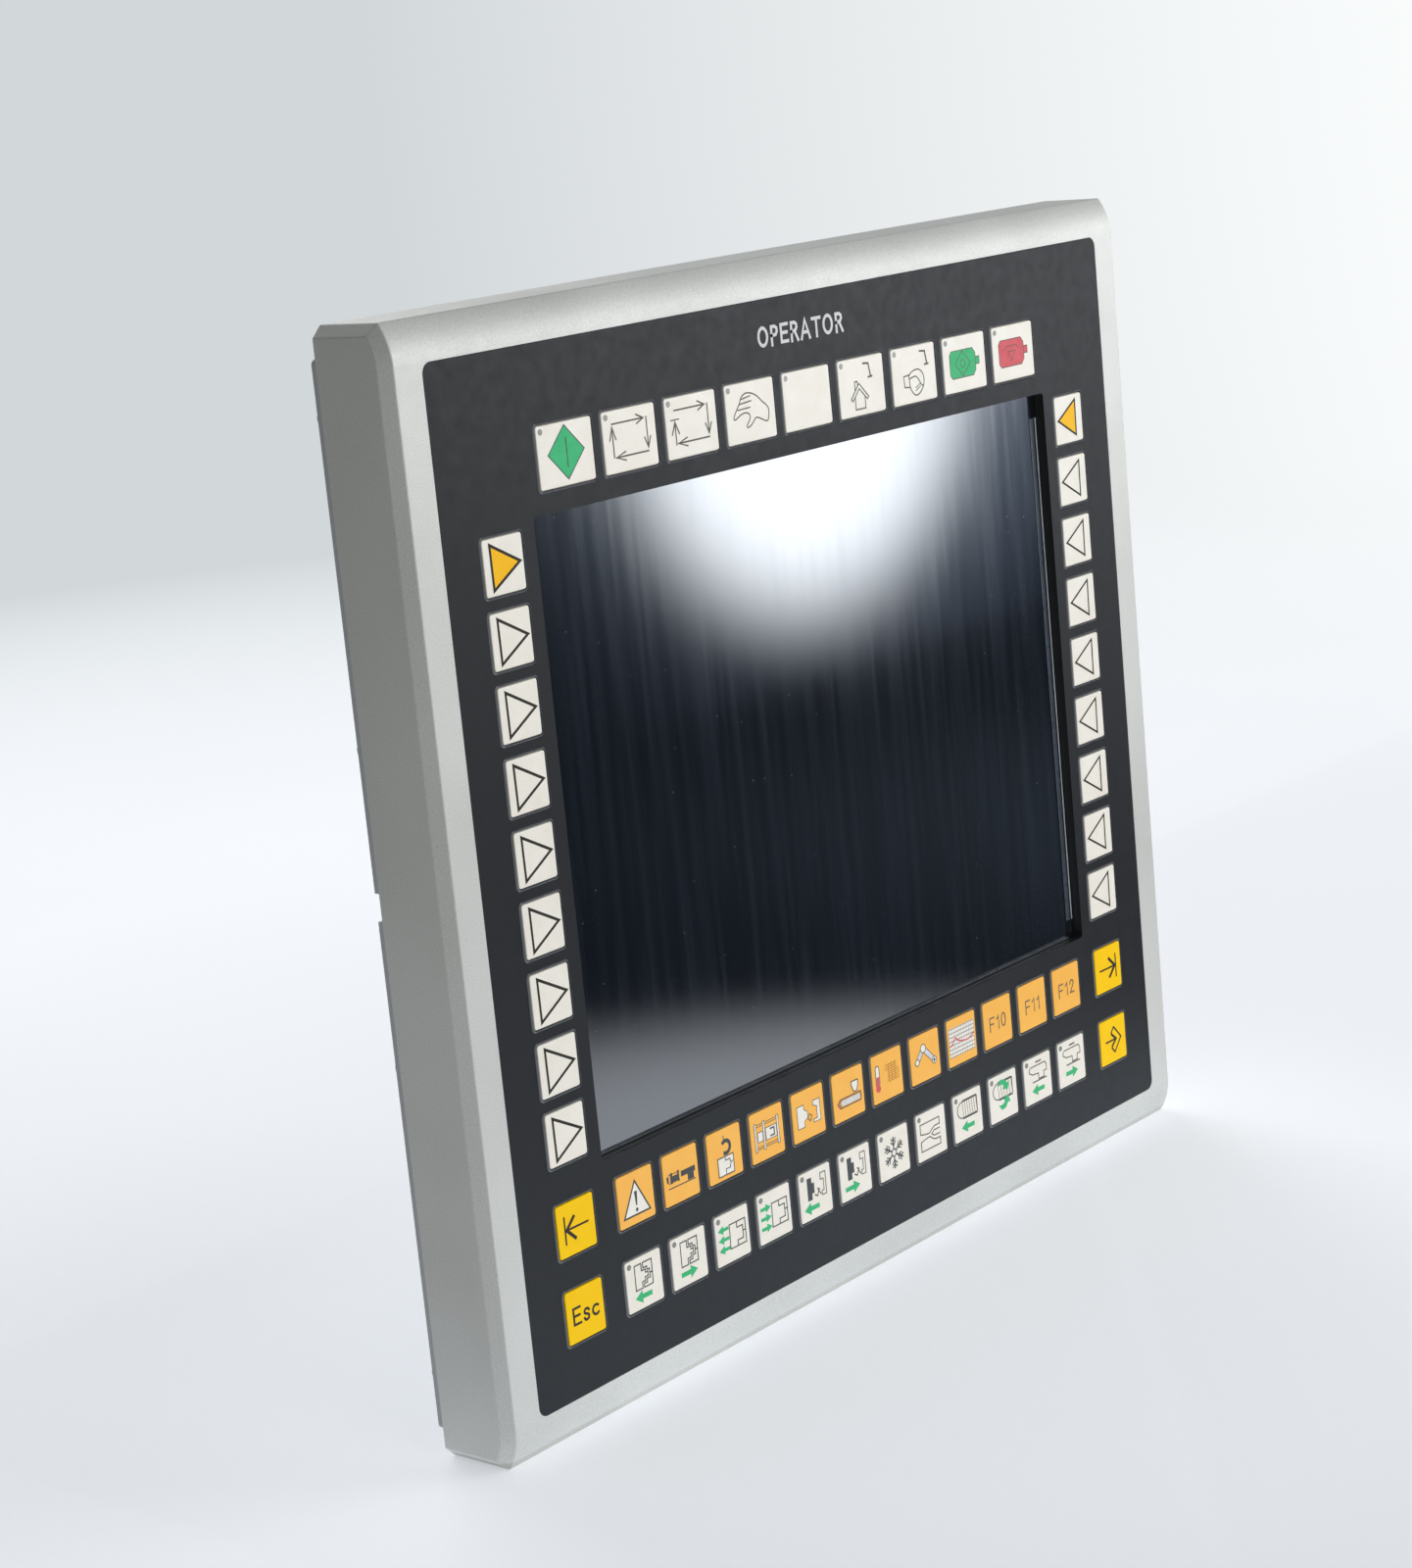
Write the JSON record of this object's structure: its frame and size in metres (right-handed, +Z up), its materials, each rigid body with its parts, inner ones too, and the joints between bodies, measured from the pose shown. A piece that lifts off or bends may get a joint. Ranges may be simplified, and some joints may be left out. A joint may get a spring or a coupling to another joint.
{
  "type": "hmi touch panel",
  "caption": "Machine operator panel: touch screen framed by short-travel picture keys in a bevelled aluminium casing, with an electronics box and arm mount behind.",
  "frame": {"origin": "centre of the arm bolt pattern on the back face of the arm plate", "axes": "+X to the right as the operator sees the panel, +Y out of the back, +Z up; the screen and keys face -Y"},
  "size_m": [0.432, 0.0693, 0.4],
  "materials": {
    "casing_aluminium": "bead blasted and clear anodised",
    "overlay_film": "charcoal polyester film, fine matt texture",
    "spacer_plastic": "black, milled sheet",
    "dome_steel": "gold-flashed stainless spring steel",
    "keypad_laminate": "black solder mask on glass laminate",
    "gasket_foam": "black closed-cell foam",
    "touch_glass": "glossy touch sensor over a dark display",
    "display_metal": "galvanised sheet",
    "display_cell": "dark glass sandwich",
    "screw_steel": "zinc plated",
    "board_laminate": "green solder mask on glass laminate",
    "heat_sink_aluminium": "extruded",
    "ribbon_plastic": "grey PVC ribbon",
    "rear_steel": "light grey fine-structure powder coat",
    "arm_plate_steel": "zinc plated steel plate",
    "terminal_plastic": "green moulded polyamide",
    "socket_metal": "tin-plated shell",
    "stud_brass": "turned brass",
    "key_cream": "satin cream, printed",
    "key_orange": "satin orange, printed",
    "key_yellow": "satin yellow, printed"
  },
  "bodies": {
    "housing": {"front_frame": "casing_aluminium", "overlay_film": "overlay_film", "key_spacer": "spacer_plastic", "key_domes": "dome_steel", "keypad_board": "keypad_laminate", "screen_gasket": "gasket_foam", "touch_glass": "touch_glass", "lcd_bezel": "display_metal", "lcd_cell": "display_cell", "backlight_tray": "display_metal", "lcd_brackets": "display_metal", "inner_screws": "screw_steel", "power_board": "board_laminate", "main_board": "board_laminate", "heat_sink": "heat_sink_aluminium", "keypad_ribbon": "ribbon_plastic", "rear_plate": "rear_steel", "rear_gasket": "gasket_foam", "rear_screws": "screw_steel", "electronics_box": "rear_steel", "arm_plate": "arm_plate_steel", "power_terminal": "terminal_plastic", "network_sockets": "socket_metal", "usb_sockets": "socket_metal", "earth_stud": "stud_brass"},
    "key_top_1": {"key_top_1": "key_cream"},
    "key_top_2": {"key_top_2": "key_cream"},
    "key_top_3": {"key_top_3": "key_cream"},
    "key_top_4": {"key_top_4": "key_cream"},
    "key_top_5": {"key_top_5": "key_cream"},
    "key_top_6": {"key_top_6": "key_cream"},
    "key_top_7": {"key_top_7": "key_cream"},
    "key_top_8": {"key_top_8": "key_cream"},
    "key_top_9": {"key_top_9": "key_cream"},
    "key_left_1": {"key_left_1": "key_cream"},
    "key_left_2": {"key_left_2": "key_cream"},
    "key_left_3": {"key_left_3": "key_cream"},
    "key_left_4": {"key_left_4": "key_cream"},
    "key_left_5": {"key_left_5": "key_cream"},
    "key_left_6": {"key_left_6": "key_cream"},
    "key_left_7": {"key_left_7": "key_cream"},
    "key_left_8": {"key_left_8": "key_cream"},
    "key_left_9": {"key_left_9": "key_cream"},
    "key_right_1": {"key_right_1": "key_cream"},
    "key_right_2": {"key_right_2": "key_cream"},
    "key_right_3": {"key_right_3": "key_cream"},
    "key_right_4": {"key_right_4": "key_cream"},
    "key_right_5": {"key_right_5": "key_cream"},
    "key_right_6": {"key_right_6": "key_cream"},
    "key_right_7": {"key_right_7": "key_cream"},
    "key_right_8": {"key_right_8": "key_cream"},
    "key_right_9": {"key_right_9": "key_cream"},
    "key_tab_back": {"key_tab_back": "key_yellow"},
    "key_escape": {"key_escape": "key_yellow"},
    "key_tab_next": {"key_tab_next": "key_yellow"},
    "key_enter": {"key_enter": "key_yellow"},
    "keys_orange_left": {"keys_orange_left": "key_orange"},
    "keys_orange_right": {"keys_orange_right": "key_orange"},
    "keys_white_left": {"keys_white_left": "key_cream"},
    "keys_white_right": {"keys_white_right": "key_cream"}
  },
  "joints": [
    {"name": "key_top_1_press", "type": "slide", "parent": "housing", "child": "key_top_1", "axis": [0, 1, 0], "range_m": [0, 0.0006], "stiffness_N_per_m": 3000, "springref_m": -0.0002},
    {"name": "key_top_2_press", "type": "slide", "parent": "housing", "child": "key_top_2", "axis": [0, 1, 0], "range_m": [0, 0.0006], "stiffness_N_per_m": 3000, "springref_m": -0.0002},
    {"name": "key_top_3_press", "type": "slide", "parent": "housing", "child": "key_top_3", "axis": [0, 1, 0], "range_m": [0, 0.0006], "stiffness_N_per_m": 3000, "springref_m": -0.0002},
    {"name": "key_top_4_press", "type": "slide", "parent": "housing", "child": "key_top_4", "axis": [0, 1, 0], "range_m": [0, 0.0006], "stiffness_N_per_m": 3000, "springref_m": -0.0002},
    {"name": "key_top_5_press", "type": "slide", "parent": "housing", "child": "key_top_5", "axis": [0, 1, 0], "range_m": [0, 0.0006], "stiffness_N_per_m": 3000, "springref_m": -0.0002},
    {"name": "key_top_6_press", "type": "slide", "parent": "housing", "child": "key_top_6", "axis": [0, 1, 0], "range_m": [0, 0.0006], "stiffness_N_per_m": 3000, "springref_m": -0.0002},
    {"name": "key_top_7_press", "type": "slide", "parent": "housing", "child": "key_top_7", "axis": [0, 1, 0], "range_m": [0, 0.0006], "stiffness_N_per_m": 3000, "springref_m": -0.0002},
    {"name": "key_top_8_press", "type": "slide", "parent": "housing", "child": "key_top_8", "axis": [0, 1, 0], "range_m": [0, 0.0006], "stiffness_N_per_m": 3000, "springref_m": -0.0002},
    {"name": "key_top_9_press", "type": "slide", "parent": "housing", "child": "key_top_9", "axis": [0, 1, 0], "range_m": [0, 0.0006], "stiffness_N_per_m": 3000, "springref_m": -0.0002},
    {"name": "key_left_1_press", "type": "slide", "parent": "housing", "child": "key_left_1", "axis": [0, 1, 0], "range_m": [0, 0.0006], "stiffness_N_per_m": 3000, "springref_m": -0.0002},
    {"name": "key_left_2_press", "type": "slide", "parent": "housing", "child": "key_left_2", "axis": [0, 1, 0], "range_m": [0, 0.0006], "stiffness_N_per_m": 3000, "springref_m": -0.0002},
    {"name": "key_left_3_press", "type": "slide", "parent": "housing", "child": "key_left_3", "axis": [0, 1, 0], "range_m": [0, 0.0006], "stiffness_N_per_m": 3000, "springref_m": -0.0002},
    {"name": "key_left_4_press", "type": "slide", "parent": "housing", "child": "key_left_4", "axis": [0, 1, 0], "range_m": [0, 0.0006], "stiffness_N_per_m": 3000, "springref_m": -0.0002},
    {"name": "key_left_5_press", "type": "slide", "parent": "housing", "child": "key_left_5", "axis": [0, 1, 0], "range_m": [0, 0.0006], "stiffness_N_per_m": 3000, "springref_m": -0.0002},
    {"name": "key_left_6_press", "type": "slide", "parent": "housing", "child": "key_left_6", "axis": [0, 1, 0], "range_m": [0, 0.0006], "stiffness_N_per_m": 3000, "springref_m": -0.0002},
    {"name": "key_left_7_press", "type": "slide", "parent": "housing", "child": "key_left_7", "axis": [0, 1, 0], "range_m": [0, 0.0006], "stiffness_N_per_m": 3000, "springref_m": -0.0002},
    {"name": "key_left_8_press", "type": "slide", "parent": "housing", "child": "key_left_8", "axis": [0, 1, 0], "range_m": [0, 0.0006], "stiffness_N_per_m": 3000, "springref_m": -0.0002},
    {"name": "key_left_9_press", "type": "slide", "parent": "housing", "child": "key_left_9", "axis": [0, 1, 0], "range_m": [0, 0.0006], "stiffness_N_per_m": 3000, "springref_m": -0.0002},
    {"name": "key_right_1_press", "type": "slide", "parent": "housing", "child": "key_right_1", "axis": [0, 1, 0], "range_m": [0, 0.0006], "stiffness_N_per_m": 3000, "springref_m": -0.0002},
    {"name": "key_right_2_press", "type": "slide", "parent": "housing", "child": "key_right_2", "axis": [0, 1, 0], "range_m": [0, 0.0006], "stiffness_N_per_m": 3000, "springref_m": -0.0002},
    {"name": "key_right_3_press", "type": "slide", "parent": "housing", "child": "key_right_3", "axis": [0, 1, 0], "range_m": [0, 0.0006], "stiffness_N_per_m": 3000, "springref_m": -0.0002},
    {"name": "key_right_4_press", "type": "slide", "parent": "housing", "child": "key_right_4", "axis": [0, 1, 0], "range_m": [0, 0.0006], "stiffness_N_per_m": 3000, "springref_m": -0.0002},
    {"name": "key_right_5_press", "type": "slide", "parent": "housing", "child": "key_right_5", "axis": [0, 1, 0], "range_m": [0, 0.0006], "stiffness_N_per_m": 3000, "springref_m": -0.0002},
    {"name": "key_right_6_press", "type": "slide", "parent": "housing", "child": "key_right_6", "axis": [0, 1, 0], "range_m": [0, 0.0006], "stiffness_N_per_m": 3000, "springref_m": -0.0002},
    {"name": "key_right_7_press", "type": "slide", "parent": "housing", "child": "key_right_7", "axis": [0, 1, 0], "range_m": [0, 0.0006], "stiffness_N_per_m": 3000, "springref_m": -0.0002},
    {"name": "key_right_8_press", "type": "slide", "parent": "housing", "child": "key_right_8", "axis": [0, 1, 0], "range_m": [0, 0.0006], "stiffness_N_per_m": 3000, "springref_m": -0.0002},
    {"name": "key_right_9_press", "type": "slide", "parent": "housing", "child": "key_right_9", "axis": [0, 1, 0], "range_m": [0, 0.0006], "stiffness_N_per_m": 3000, "springref_m": -0.0002},
    {"name": "key_tab_back_press", "type": "slide", "parent": "housing", "child": "key_tab_back", "axis": [0, 1, 0], "range_m": [0, 0.0006], "stiffness_N_per_m": 3000, "springref_m": -0.0002},
    {"name": "key_escape_press", "type": "slide", "parent": "housing", "child": "key_escape", "axis": [0, 1, 0], "range_m": [0, 0.0006], "stiffness_N_per_m": 3000, "springref_m": -0.0002},
    {"name": "key_tab_next_press", "type": "slide", "parent": "housing", "child": "key_tab_next", "axis": [0, 1, 0], "range_m": [0, 0.0006], "stiffness_N_per_m": 3000, "springref_m": -0.0002},
    {"name": "key_enter_press", "type": "slide", "parent": "housing", "child": "key_enter", "axis": [0, 1, 0], "range_m": [0, 0.0006], "stiffness_N_per_m": 3000, "springref_m": -0.0002},
    {"name": "keys_orange_left_press", "type": "slide", "parent": "housing", "child": "keys_orange_left", "axis": [0, 1, 0], "range_m": [0, 0.0006], "stiffness_N_per_m": 18000, "springref_m": -0.0002},
    {"name": "keys_orange_right_press", "type": "slide", "parent": "housing", "child": "keys_orange_right", "axis": [0, 1, 0], "range_m": [0, 0.0006], "stiffness_N_per_m": 18000, "springref_m": -0.0002},
    {"name": "keys_white_left_press", "type": "slide", "parent": "housing", "child": "keys_white_left", "axis": [0, 1, 0], "range_m": [0, 0.0006], "stiffness_N_per_m": 18000, "springref_m": -0.0002},
    {"name": "keys_white_right_press", "type": "slide", "parent": "housing", "child": "keys_white_right", "axis": [0, 1, 0], "range_m": [0, 0.0006], "stiffness_N_per_m": 18000, "springref_m": -0.0002}
  ]
}
